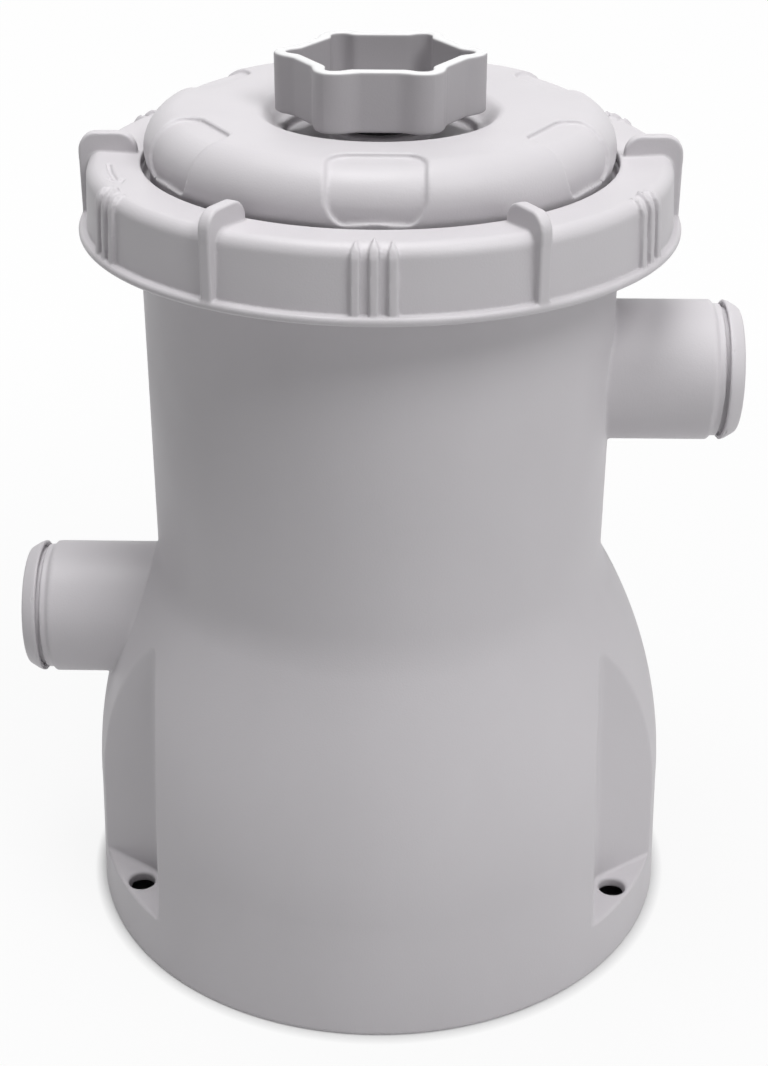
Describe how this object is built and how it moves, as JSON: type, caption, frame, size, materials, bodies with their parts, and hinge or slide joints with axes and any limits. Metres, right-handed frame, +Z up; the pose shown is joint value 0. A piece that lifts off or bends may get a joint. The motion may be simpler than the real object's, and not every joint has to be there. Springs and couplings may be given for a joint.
{
  "type": "pool filter pump",
  "caption": "Bell-shaped cartridge filter pump with two hose ports, a domed lid under a screw ring, an air-release knob and a canned magnet motor.",
  "frame": {"origin": "on the ground at the body's vertical axis, in the middle of the flat underside", "axes": "+Z up along the body's axis, +X along the inlet port, -Y to the front between the fixing pockets"},
  "size_m": [0.167, 0.1533, 0.2088],
  "materials": {
    "body_plastic": "satin moulded",
    "lid_plastic": "satin moulded",
    "ring_plastic": "satin moulded",
    "knob_plastic": "satin moulded",
    "dark_plastic": "moulded",
    "steel": "plated",
    "rubber": "matt",
    "lamination": "stacked sheet",
    "bobbin_plastic": "moulded",
    "copper": "enamelled wire",
    "resin": "cast",
    "ceramic": "ground",
    "magnet": "sintered",
    "impeller_plastic": "moulded",
    "core_plastic": "moulded",
    "filter_paper": "pleated paper",
    "cap_plastic": "soft cast"
  },
  "bodies": {
    "pump_body": {"housing_base": "body_plastic", "housing_neck": "body_plastic", "inlet_port": "body_plastic", "outlet_port": "body_plastic", "base_plate": "dark_plastic", "base_screws": "steel", "pot_screws": "steel", "motor_pot": "dark_plastic", "pot_seal": "rubber", "stator_core": "lamination", "coil_bobbins": "bobbin_plastic", "coil_windings": "copper", "motor_potting": "resin", "lower_bush": "rubber", "upper_bush": "rubber", "rotor_shaft": "ceramic", "pump_chamber": "dark_plastic", "chamber_cover": "dark_plastic", "cover_screws": "steel", "cover_seal": "rubber", "cable_gland": "rubber"},
    "rotor": {"rotor_magnet": "magnet", "impeller": "impeller_plastic"},
    "cartridge": {"cartridge_core": "core_plastic", "cartridge_media": "filter_paper", "cartridge_cap_top": "cap_plastic", "cartridge_cap_bottom": "cap_plastic"},
    "lid": {"lid": "lid_plastic", "lid_seal": "rubber"},
    "collar": {"collar": "ring_plastic"},
    "bleed_carrier": {"bleed_seal": "rubber"},
    "knob": {"bleed_knob": "knob_plastic"}
  },
  "joints": [
    {"name": "rotor_spin", "type": "hinge", "parent": "pump_body", "child": "rotor", "pos_m": [0, 0, 0.04], "axis": [0, 0, 1], "continuous": true},
    {"name": "lid_lift", "type": "slide", "parent": "pump_body", "child": "lid", "axis": [0, 0, 1], "range_m": [0, 0.2]},
    {"name": "cartridge_lift", "type": "slide", "parent": "pump_body", "child": "cartridge", "axis": [0, 0, 1], "range_m": [0, 0.1]},
    {"name": "collar_turn", "type": "hinge", "parent": "lid", "child": "collar", "pos_m": [0, 0, 0.18], "axis": [0, 0, 1], "range_deg": [0, 360]},
    {"name": "bleed_rise", "type": "slide", "parent": "lid", "child": "bleed_carrier", "axis": [0, 0, 1], "range_m": [0, 0.0018]},
    {"name": "bleed_turn", "type": "hinge", "parent": "bleed_carrier", "child": "knob", "pos_m": [0, 0, 0.2], "axis": [0, 0, 1], "range_deg": [0, 270]}
  ],
  "couplings": [
    {"joint": "cartridge_lift", "follows": "lid_lift", "ratio": 0.5},
    {"joint": "bleed_rise", "follows": "bleed_turn", "m_per_rad": 0.00038197}
  ]
}
